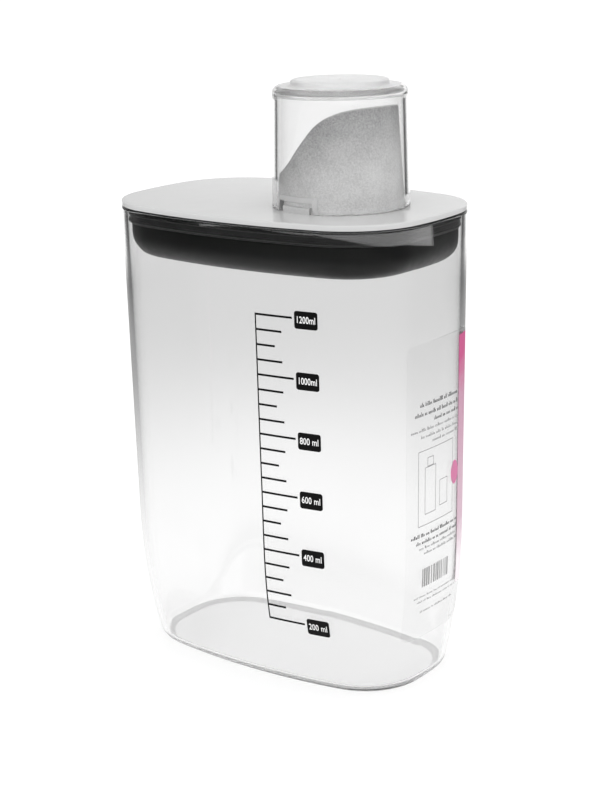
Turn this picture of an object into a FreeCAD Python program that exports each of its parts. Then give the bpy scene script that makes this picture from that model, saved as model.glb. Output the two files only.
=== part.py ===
import FreeCAD, Part
import math
import os

# Dry-food dispenser: a clear rounded jar with a printed scale, a flat lid that plugs its mouth,
# an off-centre pouring spout on the lid, and a clear measuring cup pushed over the spout as a cap.
# Millimetres. Origin at the centre of the base, +X towards the end with the spout and the film
# label, -Y towards the face with the scale, +Z up.

V = FreeCAD.Vector

# Jar
HALF_LENGTH = 65.0          # at the rim, along X
HALF_WIDTH = 43.4           # at the rim, along Y
LONG_SIDE_RADIUS = 239.0    # bulge of the long sides
SHORT_SIDE_RADIUS = 142.0   # bulge of the short ends
CORNER_RADIUS = 29.5
RIM_HEIGHT = 175.6
WALL = 2.0
FLOOR = 2.4
DRAFT_LENGTH = 0.010        # inset of each end per millimetre below the rim
DRAFT_WIDTH = 0.018         # inset of each side per millimetre below the rim
TUCK_HEIGHT = 56.0          # below this height the walls also curve inwards
TUCK_LENGTH = 3.8           # extra inset of each end at the base
TUCK_WIDTH = 8.1            # extra inset of each side at the base
BASE_EDGE_RADIUS = 5.0
RIM_EDGE_RADIUS = 0.6
WALL_SECTIONS = 9           # evenly spaced outlines that the wall runs through
EDGE_SECTIONS = 6           # and the rounded edge round the base

# Lid
SEAL_GAP = 0.05             # between the gasket's flange and the rim
FLANGE = 0.4                # gasket flange between the rim and the plate
PLATE = 1.9
PLATE_EDGE_RADIUS = 0.6
PLUG_DEPTH = 18.4           # below the rim
PLUG_INSET = 3.6            # from the rim's outline to the plug's wall
PLUG_REBATE = 1.0           # step that holds the gasket
PLUG_WALL = 1.6
PLUG_EDGE_RADIUS = 9.0      # round its lower edge, outside
PLUG_INNER_RADIUS = 5.8     # and inside
GASKET_HEIGHT = 5.6         # below the rim
GASKET_INSET = 2.9
FLANGE_INSET = 0.9
LIP_REACH = 0.6             # how far the lips stand out of the gasket's band
LIP_HEIGHT = 1.0
LIP_EDGE_RADIUS = 0.4
LIP_DEPTHS = (1.9, 4.5)     # below the rim, to the middle of each lip

# Pouring spout
SPOUT_X = 22.6
SPOUT_BASE_RADIUS = 23.05
SPOUT_DRAFT = 0.062         # inset per millimetre of height
SPOUT_WALL = 1.6
SPOUT_LOW = 11.5            # height of the cut edge above the plate at the low side
SPOUT_HIGH = 37.3           # and at the tall side
CUT_START = -17.8           # where the cut edge begins to rise, from the spout's axis
CUT_END = 23.2              # where it would level out, just past the tall side
CUT_SLOPE = 51.5            # degrees, at its steepest
CUT_LOW_RADIUS = 21.0
CUT_TURN = -12.0            # degrees about the spout's axis, from +X to the middle of the tall side
CUT_MARGIN = 20.0           # how far the cut reaches past the edge
SPOUT_HOLE_CLEARANCE = 0.05  # between the spout and its hole in the plate
SPOUT_FLANGE_REACH = 2.6    # flange held under the plate
SPOUT_FLANGE = 1.6
LUG_ANGLE = -97.3           # degrees about the spout's axis
LUG_WIDTH = 13.0
LUG_HEIGHT = 2.3
LUG_RADIUS = 24.7

# Measuring cup, upside down over the spout
CUP_MOUTH_RADIUS = 25.2
CUP_TOP_RADIUS = 24.3
CUP_HEIGHT = 43.2
CUP_WALL = 1.8
CUP_CEILING = 2.2
CUP_SHOULDER_RADIUS = 2.4   # outside
CUP_INNER_RADIUS = 1.4      # inside
CUP_LIP_RADIUS = 0.6        # round both edges of the mouth
CUP_CLEARANCE = 0.1         # above the plate
CUP_FOOT_RADIUS = 17.8
CUP_FOOT_HEIGHT = 2.0
CUP_FOOT_EDGE = 0.9
NOTCH_CLEARANCE = 1.7       # each side of the lug, and above it

# Printed scale on the face at -Y
INK = 0.15                  # thickness of the print and of the label's film
SCALE_X = 14.8              # the upright line
SCALE_LOWEST = 28.3         # height of the 200 ml mark
TICK_SPACING = 5.54
TICKS_TO_400 = 5            # spacings from 200 ml up to 400 ml
TICKS_PER_STEP = 4          # spacings between the longer marks above that
TICKS = 22
TICK_LENGTHS = {"long": 15.0, "medium": 10.6, "short": 7.7}
TICK_THICKNESS = 0.75
LINE_THICKNESS = 0.45
BADGE_X = 35.3
BADGE_WIDTH = 9.0
BADGE_HEIGHT = 6.4
BADGE_CORNER = 0.9
BADGE_DROP = 0.55           # of the badge's middle below its mark
VOLUME_STEP = 200           # millilitres between the badges, and at the lowest
BADGE_VOLUMES = (200, 400, 600, 800, 1000, 1200)

# Film label on the end at +X
LABEL_Y = (-18.5, 23.5)
LABEL_Z = (21.0, 133.5)
LABEL_CORNER = 2.5
STRIPE_Y = (14.8, 22.6)
STRIPE_Z = (35.0, 131.5)
STRIPE_CORNER = 0.8
STRIPE_THICKNESS = 0.1      # on top of the film

PLATE_BOTTOM = RIM_HEIGHT + SEAL_GAP + FLANGE
PLATE_TOP = PLATE_BOTTOM + PLATE
BORE_RADIUS = SPOUT_BASE_RADIUS - SPOUT_WALL


def on_ray(centre, through, distance):
    """The point at a distance from centre, in the direction of another point."""
    return centre + (through - centre).normalize() * distance


def mirrored(point, sign_x, sign_y):
    return V(point.x * sign_x, point.y * sign_y, point.z)


def outline(half_length, half_width, z, long_radius, short_radius, corner):
    """Closed outline of eight tangent arcs: two long sides, two short ends, four corners."""
    long_centre = V(0, half_width - long_radius, z)
    short_centre = V(half_length - short_radius, 0, z)
    # The corner's centre lies on a circle about each of the other two centres.
    reach_long = long_radius - corner
    reach_short = short_radius - corner
    between = short_centre - long_centre
    gap = between.Length
    along = (gap ** 2 + reach_long ** 2 - reach_short ** 2) / (2 * gap)
    aside = math.sqrt(reach_long ** 2 - along ** 2)
    unit = between.normalize()
    corner_centre = long_centre + unit * along + V(unit.y, -unit.x, 0) * aside
    on_long = on_ray(long_centre, corner_centre, long_radius)
    on_short = on_ray(short_centre, corner_centre, short_radius)
    on_corner = on_ray(corner_centre, on_long + on_short - corner_centre, corner)
    arcs = []
    for sign_x, sign_y, forwards in ((1, 1, True), (1, -1, False), (-1, -1, True), (-1, 1, False)):
        quarter = [mirrored(p, sign_x, sign_y) for p in (on_short, on_corner, on_long)]
        if not forwards:
            quarter.reverse()
        arcs.append(Part.Arc(*quarter))
    long_top = V(0, half_width, z)
    short_tip = V(half_length, 0, z)
    sides = (
        Part.Arc(on_long, long_top, mirrored(on_long, -1, 1)),
        Part.Arc(mirrored(on_short, -1, 1), mirrored(short_tip, -1, 1), mirrored(on_short, -1, -1)),
        Part.Arc(mirrored(on_long, -1, -1), mirrored(long_top, 1, -1), mirrored(on_long, 1, -1)),
        Part.Arc(mirrored(on_short, 1, -1), short_tip, on_short),
    )
    ordered = (arcs[0], sides[0], arcs[3], sides[1], arcs[2], sides[2], arcs[1], sides[3])
    return Part.Wire([arc.toShape() for arc in ordered])


def rim_outline(inset, z):
    """The rim's own outline, moved inwards."""
    return outline(HALF_LENGTH - inset, HALF_WIDTH - inset, z, LONG_SIDE_RADIUS - inset,
                   SHORT_SIDE_RADIUS - inset, CORNER_RADIUS - inset)


def slab(inset, bottom, top):
    """A flat-sided block with the rim's outline, moved inwards."""
    return Part.Face(rim_outline(inset, bottom)).extrude(V(0, 0, top - bottom))


def band(outer_inset, inner_inset, bottom, top):
    return slab(outer_inset, bottom, top).cut(slab(inner_inset, bottom - 1, top + 1))


def jar_section(z, inset):
    """Outline of the jar's outer wall at a height, moved inwards."""
    depth = RIM_HEIGHT - z
    tuck = max(0.0, 1 - z / TUCK_HEIGHT) ** 2
    half_length = HALF_LENGTH - DRAFT_LENGTH * depth - TUCK_LENGTH * tuck
    half_width = HALF_WIDTH - DRAFT_WIDTH * depth - TUCK_WIDTH * tuck
    shrink = (half_length / HALF_LENGTH + half_width / HALF_WIDTH) / 2
    return outline(half_length - inset, half_width - inset, z, LONG_SIDE_RADIUS - inset,
                   SHORT_SIDE_RADIUS - inset, CORNER_RADIUS * shrink - inset)


def jar_block(inset, bottom):
    """The jar's outer shape, moved inwards, filled from a height up to just above the rim."""
    radius = BASE_EDGE_RADIUS - inset
    edge_sections = []
    for index in range(EDGE_SECTIONS):
        turn = math.radians(90) * index / (EDGE_SECTIONS - 1)
        height = bottom + radius * (1 - math.cos(turn))
        edge_sections.append(jar_section(height, inset + radius * (1 - math.sin(turn))))
    start = bottom + radius
    spacing = (RIM_HEIGHT + 1 - start) / (WALL_SECTIONS - 1)
    wall_sections = [jar_section(start + index * spacing, inset) for index in range(WALL_SECTIONS)]
    edge = Part.makeLoft(edge_sections, True, False)
    return edge.fuse(Part.makeLoft(wall_sections, True, False))


def edges_at(shape, z):
    """The edges that lie level at a height."""
    return [e for e in shape.Edges if abs(e.BoundBox.ZMin - z) < 0.01 and abs(e.BoundBox.ZMax - z) < 0.01]


def below(shape, z):
    size = 400.0
    return shape.cut(Part.makeBox(size, size, size, V(-size / 2, -size / 2, z)))


def make_container_body():
    body = below(jar_block(0, 0), RIM_HEIGHT).cut(jar_block(WALL, FLOOR))
    return body.makeFillet(RIM_EDGE_RADIUS, edges_at(body, RIM_HEIGHT))


def spout_cylinder(radius, bottom, top):
    return Part.makeCylinder(radius, top - bottom, V(SPOUT_X, 0, bottom))


def make_lid_plate():
    plate = slab(0, PLATE_BOTTOM, PLATE_TOP)
    plate = plate.makeFillet(PLATE_EDGE_RADIUS, edges_at(plate, PLATE_TOP))
    hole_radius = SPOUT_BASE_RADIUS + SPOUT_HOLE_CLEARANCE
    return plate.cut(spout_cylinder(hole_radius, PLATE_BOTTOM - 1, PLATE_TOP + 1))


def make_lid_plug():
    bottom = RIM_HEIGHT - PLUG_DEPTH
    rebate_inset = PLUG_INSET + PLUG_REBATE
    inner_inset = rebate_inset + PLUG_WALL
    pan = slab(PLUG_INSET, bottom, PLATE_BOTTOM)
    pan = pan.makeFillet(PLUG_EDGE_RADIUS, edges_at(pan, bottom))
    floor_top = bottom + PLUG_WALL
    hollow = slab(inner_inset, floor_top, PLATE_BOTTOM + 1)
    hollow = hollow.makeFillet(PLUG_INNER_RADIUS, edges_at(hollow, floor_top))
    pan = pan.cut(hollow)
    pan = pan.cut(band(PLUG_INSET - 1, rebate_inset, RIM_HEIGHT - GASKET_HEIGHT, PLATE_BOTTOM + 1))
    throat_top = PLATE_BOTTOM - SPOUT_FLANGE
    pan = pan.fuse(spout_cylinder(BORE_RADIUS + PLUG_WALL, bottom, throat_top))
    return pan.cut(spout_cylinder(BORE_RADIUS, bottom - 1, throat_top + 1)).removeSplitter()


def make_lid_gasket():
    inner_inset = PLUG_INSET + PLUG_REBATE
    bottom = RIM_HEIGHT - GASKET_HEIGHT
    gasket = band(GASKET_INSET, inner_inset, bottom, PLATE_BOTTOM)
    gasket = gasket.fuse(band(FLANGE_INSET, inner_inset, RIM_HEIGHT + SEAL_GAP, PLATE_BOTTOM))
    for depth in LIP_DEPTHS:
        middle = RIM_HEIGHT - depth
        lip = slab(GASKET_INSET - LIP_REACH, middle - LIP_HEIGHT / 2, middle + LIP_HEIGHT / 2)
        lip = lip.makeFillet(LIP_EDGE_RADIUS, edges_at(lip, middle - LIP_HEIGHT / 2))
        gasket = gasket.fuse(lip.cut(slab(inner_inset, middle - LIP_HEIGHT, middle + LIP_HEIGHT)))
    return gasket.removeSplitter()


def cut_edge_profile():
    """Upper side of the spout's S-shaped edge, as a closed face in the plane of X and Z."""
    slope = math.radians(CUT_SLOPE)
    rise = SPOUT_HIGH - SPOUT_LOW
    run = CUT_END - CUT_START
    low_end = V(CUT_LOW_RADIUS * math.sin(slope), 0, CUT_LOW_RADIUS * (1 - math.cos(slope)))
    # What is left of the run and the rise is a straight stretch and the arc of the tall side.
    left_run = run - low_end.x
    left_rise = rise - low_end.z
    high_radius = (left_run * math.sin(slope) - left_rise * math.cos(slope)) / (1 - math.cos(slope))
    high_start = V(run - high_radius * math.sin(slope), 0, rise - high_radius * (1 - math.cos(slope)))
    half = slope / 2
    low_middle = V(CUT_LOW_RADIUS * math.sin(half), 0, CUT_LOW_RADIUS * (1 - math.cos(half)))
    high_middle = V(run - high_radius * math.sin(half), 0, rise - high_radius * (1 - math.cos(half)))
    far = V(run + CUT_MARGIN, 0, rise)
    roof = rise + CUT_MARGIN
    edges = [
        Part.LineSegment(V(-CUT_MARGIN, 0, 0), V(0, 0, 0)),
        Part.Arc(V(0, 0, 0), low_middle, low_end),
        Part.LineSegment(low_end, high_start),
        Part.Arc(high_start, high_middle, V(run, 0, rise)),
        Part.LineSegment(V(run, 0, rise), far),
        Part.LineSegment(far, V(far.x, 0, roof)),
        Part.LineSegment(V(far.x, 0, roof), V(-CUT_MARGIN, 0, roof)),
        Part.LineSegment(V(-CUT_MARGIN, 0, roof), V(-CUT_MARGIN, 0, 0)),
    ]
    face = Part.Face(Part.Wire([edge.toShape() for edge in edges]))
    face.translate(V(SPOUT_X + CUT_START, 0, PLATE_TOP + SPOUT_LOW))
    return face


def sector(inner_radius, outer_radius, width, bottom, top):
    """A curved block round the spout's axis at the lug's angle."""
    ring = spout_cylinder(outer_radius, bottom, top).cut(spout_cylinder(inner_radius, bottom - 1, top + 1))
    cutter = Part.makeBox(outer_radius + 5, width, top - bottom, V(0, -width / 2, bottom))
    cutter.rotate(V(0, 0, 0), V(0, 0, 1), LUG_ANGLE)
    cutter.translate(V(SPOUT_X, 0, 0))
    return ring.common(cutter)


def make_pour_spout():
    bottom = PLATE_BOTTOM - SPOUT_FLANGE
    top = SPOUT_HIGH + CUT_MARGIN / 2
    top_radius = SPOUT_BASE_RADIUS - SPOUT_DRAFT * top
    tube = Part.makeCone(SPOUT_BASE_RADIUS, top_radius, top, V(SPOUT_X, 0, PLATE_TOP))
    tube = tube.fuse(spout_cylinder(SPOUT_BASE_RADIUS, bottom, PLATE_TOP))
    tube = tube.fuse(spout_cylinder(SPOUT_BASE_RADIUS + SPOUT_FLANGE_REACH, bottom, PLATE_BOTTOM))
    bore = Part.makeCone(BORE_RADIUS, top_radius - SPOUT_WALL, top, V(SPOUT_X, 0, PLATE_TOP))
    bore = bore.fuse(spout_cylinder(BORE_RADIUS, bottom - 1, PLATE_TOP))
    tube = tube.cut(bore)
    depth = 2 * (SPOUT_BASE_RADIUS + CUT_MARGIN)
    cutter = cut_edge_profile().extrude(V(0, depth, 0))
    cutter.translate(V(0, -depth / 2, 0))
    cutter.rotate(V(SPOUT_X, 0, 0), V(0, 0, 1), CUT_TURN)
    tube = tube.cut(cutter)
    lug = sector(SPOUT_BASE_RADIUS - 1, LUG_RADIUS, LUG_WIDTH, PLATE_TOP, PLATE_TOP + LUG_HEIGHT)
    return tube.fuse(lug).removeSplitter()


def make_measuring_cup():
    bottom = PLATE_TOP + CUP_CLEARANCE
    top = bottom + CUP_HEIGHT
    axis = V(SPOUT_X, 0, bottom)
    cup = Part.makeCone(CUP_MOUTH_RADIUS, CUP_TOP_RADIUS, CUP_HEIGHT, axis)
    cup = cup.makeFillet(CUP_SHOULDER_RADIUS, edges_at(cup, top))
    foot = spout_cylinder(CUP_FOOT_RADIUS, top - 1, top + CUP_FOOT_HEIGHT)
    foot = foot.makeFillet(CUP_FOOT_EDGE, edges_at(foot, top + CUP_FOOT_HEIGHT))
    cup = cup.fuse(foot)
    hollow = Part.makeCone(CUP_MOUTH_RADIUS - CUP_WALL, CUP_TOP_RADIUS - CUP_WALL,
                           CUP_HEIGHT - CUP_CEILING, axis)
    hollow = hollow.makeFillet(CUP_INNER_RADIUS, edges_at(hollow, top - CUP_CEILING))
    cup = cup.cut(hollow)
    cup = cup.makeFillet(CUP_LIP_RADIUS, edges_at(cup, bottom))
    notch = sector(CUP_MOUTH_RADIUS - CUP_WALL - 1, CUP_MOUTH_RADIUS + 1, LUG_WIDTH + 2 * NOTCH_CLEARANCE,
                   bottom - 1, PLATE_TOP + LUG_HEIGHT + NOTCH_CLEARANCE)
    return cup.cut(notch)


def skin(inner, outer):
    """A thin layer that follows the jar's outer wall, between two distances outside it."""
    return jar_block(-outer, 0).cut(jar_block(-inner, 0))


def prism(low, high, along, corner):
    """A block between two opposite corners, with its edges along one direction rounded."""
    size = high - low
    block = Part.makeBox(size.x, size.y, size.z, low)
    if corner == 0:
        return block
    long_edges = [e for e in block.Edges if abs(e.tangentAt(e.FirstParameter).dot(along)) > 0.99]
    return block.makeFillet(corner, long_edges)


def front_patch(x, z, width, height, corner=0.0):
    """A prism reaching through the face at -Y, centred on x and z."""
    low = V(x - width / 2, -2 * HALF_WIDTH, z - height / 2)
    return prism(low, V(x + width / 2, 0, z + height / 2), V(0, 1, 0), corner)


def end_patch(y_range, z_range, corner):
    """A prism reaching through the end at +X."""
    high = V(2 * HALF_LENGTH, y_range[1], z_range[1])
    return prism(V(0, y_range[0], z_range[0]), high, V(1, 0, 0), corner)


def tick_kind(index):
    if index == 0:
        return "long"
    if index < TICKS_TO_400:
        return "short" if index % 2 else "medium"
    step = (index - TICKS_TO_400) % TICKS_PER_STEP
    return ("long", "medium", "short", "medium")[step]


def tick_height(index):
    return SCALE_LOWEST + index * TICK_SPACING


def make_scale_marks(layer):
    last = TICKS - 1
    height = tick_height(last) - SCALE_LOWEST + TICK_THICKNESS
    marks = front_patch(SCALE_X, (SCALE_LOWEST + tick_height(last)) / 2, LINE_THICKNESS, height)
    for index in range(TICKS):
        length = TICK_LENGTHS[tick_kind(index)]
        marks = marks.fuse(front_patch(SCALE_X + length / 2, tick_height(index), length, TICK_THICKNESS))
    return layer.common(marks)


def badge_height(volume):
    step = volume // VOLUME_STEP
    index = 0 if step == 1 else TICKS_TO_400 + (step - 2) * TICKS_PER_STEP
    return tick_height(index) - BADGE_DROP


def make_parts():
    layer = skin(0, INK)
    stripe_layer = skin(INK, INK + STRIPE_THICKNESS)
    parts = {
        "container_body": make_container_body(),
        "lid_plate": make_lid_plate(),
        "lid_plug": make_lid_plug(),
        "lid_gasket": make_lid_gasket(),
        "pour_spout": make_pour_spout(),
        "measuring_cup": make_measuring_cup(),
        "scale_marks": make_scale_marks(layer),
        "side_label": layer.common(end_patch(LABEL_Y, LABEL_Z, LABEL_CORNER)),
        "label_stripe": stripe_layer.common(end_patch(STRIPE_Y, STRIPE_Z, STRIPE_CORNER)),
    }
    for volume in BADGE_VOLUMES:
        patch = front_patch(BADGE_X, badge_height(volume), BADGE_WIDTH, BADGE_HEIGHT, BADGE_CORNER)
        parts[f"scale_badge_{volume}"] = layer.common(patch)
    return parts


os.makedirs("parts", exist_ok=True)
for name, shape in make_parts().items():
    box = shape.BoundBox
    print(name, "solids", len(shape.Solids), "valid", shape.isValid(), "volume", round(shape.Volume, 1),
          "z", round(box.ZMin, 2), round(box.ZMax, 2))
    shape.exportStep(f"parts/{name}.step")
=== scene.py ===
import math
import random

import bmesh
import bpy
from mathutils import Matrix, Vector
from mathutils.bvhtree import BVHTree


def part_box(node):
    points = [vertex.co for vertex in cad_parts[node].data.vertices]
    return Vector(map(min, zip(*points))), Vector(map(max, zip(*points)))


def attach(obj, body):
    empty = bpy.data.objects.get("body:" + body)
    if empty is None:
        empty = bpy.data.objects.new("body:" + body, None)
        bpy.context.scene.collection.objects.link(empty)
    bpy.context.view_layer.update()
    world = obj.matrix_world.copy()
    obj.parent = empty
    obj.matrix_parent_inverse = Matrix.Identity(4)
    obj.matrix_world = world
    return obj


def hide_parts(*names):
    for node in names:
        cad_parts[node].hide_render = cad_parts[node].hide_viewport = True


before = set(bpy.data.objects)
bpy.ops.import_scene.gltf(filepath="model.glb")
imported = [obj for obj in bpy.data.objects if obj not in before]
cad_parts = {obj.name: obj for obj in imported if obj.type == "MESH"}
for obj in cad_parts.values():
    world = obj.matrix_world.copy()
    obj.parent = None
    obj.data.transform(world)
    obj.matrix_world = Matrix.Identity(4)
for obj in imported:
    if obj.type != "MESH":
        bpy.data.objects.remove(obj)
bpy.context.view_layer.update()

# Everything is in metres, in the frame's own axes: +X towards the spout's end, -Y out of the face
# with the scale, +Z up.
MM = 0.001

# Sizes that the frame gives
PLATE_LOW, PLATE_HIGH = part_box("lid_plate")
JAR_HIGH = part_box("container_body")[1]
PLUG_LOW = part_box("lid_plug")[0]
GASKET_LOW, GASKET_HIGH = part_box("lid_gasket")
SPOUT_LOW_CORNER, SPOUT_HIGH_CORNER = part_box("pour_spout")
CUP_LOW, CUP_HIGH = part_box("measuring_cup")
HALF_LENGTH = PLATE_HIGH.x
HALF_WIDTH = PLATE_HIGH.y
RIM = JAR_HIGH.z
PLATE_TOP = PLATE_HIGH.z
PLATE_BOTTOM = PLATE_LOW.z
SPOUT_X = (SPOUT_LOW_CORNER.x + SPOUT_HIGH_CORNER.x) / 2
CUP_MOUTH_RADIUS = (CUP_HIGH.y - CUP_LOW.y) / 2

# Shape of the jar. Draft and tuck move its walls inwards below the rim.
LONG_SIDE_RADIUS = 239.0 * MM
SHORT_SIDE_RADIUS = 142.0 * MM
CORNER_RADIUS = 29.5 * MM
WALL = 2.0 * MM
FLOOR = 2.4 * MM
DRAFT_LENGTH = 0.010
DRAFT_WIDTH = 0.018
TUCK_HEIGHT = 56.0 * MM
TUCK_LENGTH = 3.8 * MM
TUCK_WIDTH = 8.1 * MM
BASE_EDGE_RADIUS = 5.0 * MM
BASE_BAND = 12.0 * MM            # faces of the base next to its rounded edge
BASE_HIGHLIGHT_HAZE_ROWS = range(1, 4)     # hazy rows of faces up the rounded edge, whose whitish scatter is painted light that pales the edge
RIM_EDGE_RADIUS = 0.6 * MM
TOP_ROW = 0.1 * MM               # height of the uppermost row of faces of a tall wall

# Shape of the lid
PLATE_EDGE_RADIUS = 0.6 * MM
PLATE_LOWER_RADIUS = 0.25 * MM
PLATE_BAND = 2.0 * MM            # faces of the plate next to its edge
HOLE_CLEARANCE = 0.05 * MM       # between the spout and its hole in the plate
HOLE_BAND = 4.0 * MM             # faces of the plate next to the hole
PLUG_INSET = 3.6 * MM
PLUG_REBATE = 1.0 * MM
PLUG_EDGE_RADIUS = 9.0 * MM
PLUG_MOUTH_RADIUS = 1.0 * MM
PLUG_BAND = 3.0 * MM             # faces of the plug's underside next to its rounded edge
REBATE_BEVEL = 0.3 * MM
GASKET_INSET = 2.9 * MM
GASKET_BEVEL = 0.3 * MM
FLANGE_INSET = 0.9 * MM
FLANGE = 0.4 * MM
LIP_REACH = 0.6 * MM
LIP_HEIGHT = 1.0 * MM
LIP_DEPTHS = (1.9 * MM, 4.5 * MM)

# Shape of the spout. Its S-shaped edge is a low arc, a slope and a high arc.
SPOUT_BASE_RADIUS = 23.05 * MM
SPOUT_DRAFT = 0.062
SPOUT_WALL = 1.6 * MM
SPOUT_EDGE_RADIUS = 0.45 * MM
SPOUT_BORE_RADIUS = SPOUT_BASE_RADIUS - SPOUT_WALL
SPOUT_FLANGE = 1.6 * MM
SPOUT_FLANGE_RADIUS = (SPOUT_HIGH_CORNER.x - SPOUT_LOW_CORNER.x) / 2
FLANGE_GAP = 0.02 * MM           # between the spout's flange and the plate
FLANGE_CLEARANCE = 0.2 * MM      # between the flange and the plug's recess round it
SPOUT_LOW = 11.5 * MM
SPOUT_HIGH = 37.3 * MM
CUT_START = -17.8 * MM
CUT_END = 23.2 * MM
CUT_SLOPE = math.radians(51.5)
CUT_LOW_RADIUS = 21.0 * MM
CUT_TURN = math.radians(-12.0)
LUG_ANGLE = math.radians(-97.3)
LUG_WIDTH = 13.0 * MM
LUG_HEIGHT = 2.3 * MM
LUG_RADIUS = 24.7 * MM
LUG_ROOT_RADIUS = SPOUT_BASE_RADIUS - 0.6 * MM
LUG_EDGE_RADIUS = 0.5 * MM

# Shape of the cup
CUP_TOP_RADIUS = 24.3 * MM
CUP_WALL = 1.8 * MM
CUP_CEILING = 2.2 * MM
CUP_CEILING_BAND = 2.0 * MM      # faces of the ceiling next to its rounded corner
CUP_CENTRE_RADIUS = 0.5 * MM     # smallest ring of faces of the ceiling and the foot
CUP_SHOULDER_RADIUS = 2.4 * MM
CUP_INNER_RADIUS = 1.4 * MM
CUP_LIP_RADIUS = 0.6 * MM
CUP_FOOT_RADIUS = 17.8 * MM
CUP_FOOT_HEIGHT = 2.0 * MM
CUP_FOOT_EDGE = 0.9 * MM
CUP_FOOT_FILLET = 0.8 * MM
NOTCH_CLEARANCE = 1.7 * MM
NOTCH_CORNER = 0.5 * MM
NOTCH_HALF_WIDTH = LUG_WIDTH / 2 + NOTCH_CLEARANCE
NOTCH_HIGHLIGHT_HAZE = 1.6 * MM            # hazy faces round the notch, a painted highlight along its cut edges
NOTCH_END_REACH = 0.6 * MM       # closer columns of faces on each side of the notch's ends
NOTCH_END_COLUMNS = 13
NOTCH_END_SPACE = 0.012          # radians that the even columns keep from the closer ones

# Numbers on the badges
BADGE_VOLUMES = (200, 400, 600, 800, 1000, 1200)
FIGURE_SIZE = 3.5 * MM
FIGURE_BOLDNESS = 0.03 * MM
FIGURE_SPACING = 1.04
FIGURE_REACH = 0.41              # widest reach from the badge's middle, as a share of its width
FIGURE_LIFT = 0.05 * MM

# Print on the label, +Y and +Z along it. Each row of blocks: ends, middle height and block height in
# millimetres, and whether it is dark.
LABEL_TEXT = (
    (-11.6, 14.0, 111.0, 1.9, True),
    (-14.6, 14.0, 107.6, 1.9, True),
    (-2.9, 14.0, 104.6, 1.8, True),
    (-16.5, 14.0, 101.6, 1.4, False),
    (-11.0, 14.0, 99.0, 1.4, False),
    (-4.0, 14.0, 96.6, 1.4, False),
    (-16.2, 14.0, 61.7, 1.7, True),
    (-13.4, 14.0, 59.0, 1.7, True),
    (-11.6, 14.0, 56.6, 1.3, False),
    (-8.6, 14.0, 54.4, 1.3, False),
    (-14.0, 14.0, 37.6, 0.9, False),
    (-12.0, 14.0, 35.6, 0.9, False),
    (-10.0, 12.0, 31.5, 1.0, False),
)
# Left, right, bottom and top of each outline of the drawing, in millimetres
LABEL_FRAMES = (
    (-12.5, 10.6, 65.0, 93.7),
    (-8.5, -1.5, 69.0, 87.0),
    (-7.0, -3.0, 87.0, 90.5),
    (1.0, 6.5, 70.0, 80.0),
)
BLOCK_WIDTHS = (0.35 * MM, 0.75 * MM)
BLOCK_RISES = (0.5, 0.5, 0.5, 0.85)     # shares of the row's height
BLOCK_GAP = 0.25 * MM
GROUP_GAP = 0.9 * MM
GROUP_SIZES = (2, 8)
BAR_WIDTHS = (0.35, 0.6, 0.95)          # millimetres
BAR_GAPS = (0.4, 0.6, 0.9)
LABEL_LINE = 0.28 * MM
LABEL_SPOT = (12.0 * MM, 80.0 * MM)
LABEL_SPOT_RADII = (2.8 * MM, 4.6 * MM)
LABEL_BARS_Y = (-9.5 * MM, 8.0 * MM)
LABEL_BARS_Z = (41.0 * MM, 48.2 * MM)
PRINT_LIFT = 0.03 * MM
PRINT_FACE_WIDTH = 1.5 * MM
PRINT_FACE_HEIGHT = 3.0 * MM
PRINT_SEED = 3
# Heights on the stripe and its colours there
STRIPE_COLOURS = (
    (44 * MM, (0.86, 0.8, 0.83)),
    (60 * MM, (0.62, 0.45, 0.53)),
    (108 * MM, (0.52, 0.29, 0.39)),
    (124 * MM, (0.53, 0.095, 0.24)),
)

# Fineness of the meshes
SHORT_STEPS = 9
CORNER_STEPS = 26
LONG_STEPS = 17
ROUND_COLUMNS = 288
WALL_ROWS = 30
ROUND_ROWS = 7       # round a large edge
FILLET_ROWS = 5      # round the plug's mouth, the lug, and the cup's lip and foot
EDGE_ROWS = 4        # round a small edge
PLATE_EDGE_ROWS = 6
PLUG_EDGE_ROWS = 12
LIP_ROWS = 9
LUG_COLUMNS = 16
SPOT_COLUMNS = 48
SPOT_RINGS = 8
SPOT_CENTRE = 0.12   # smallest ring of the spot, as a share of its size
FLOOR_COLUMNS = 96
CUT_ROUNDS = 6       # steps in which the height of the spout's edge is found
SHARP_ANGLE = 40     # degrees between faces that keeps an edge sharp
GASKET_SHARP_ANGLE = 60

# Materials
CLEAR_IOR = 1.49
NOISE_LOW = 0.3      # nearly all values of a noise lie between these two
NOISE_HIGH = 0.7

# Heights between which painted shade darkens the spout towards its top, in place of the light that
# falls less there, measured along a line that leans towards its low side, and the shifts of its tone
# there
PAINTED_SHADE_DIRECTION = (-0.55, 0, 1)
SPOUT_PAINTED_SHADE_HEIGHTS = (142 * MM, 180 * MM)
SPOUT_PAINTED_SHADE_SHIFTS = (0.42, -0.26)

# Camera
CAMERA_AZIMUTH = math.radians(36.73)
CAMERA_ELEVATION = math.radians(15.47)
CAMERA_ROLL = math.radians(-1.15)
CAMERA_DISTANCE = 720.6 * MM
CAMERA_AIM = Vector((-14.2, 21.8, 93.6)) * MM
CAMERA_LENS = 81.67
CAMERA_SENSOR = 36

# Horizontal directions across the main view and ahead of it, which the studio's darker parts follow
VIEW_SIDE = (0.805, 0.594, 0)
VIEW_AHEAD = (-0.594, 0.805, 0)

# Light that enters through a clear wall and leaves through one crosses four surfaces, and it is
# raised to make up for what they reflect away.
WALL_CROSSINGS = 3.5
WALL_GAIN = 1.4

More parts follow.
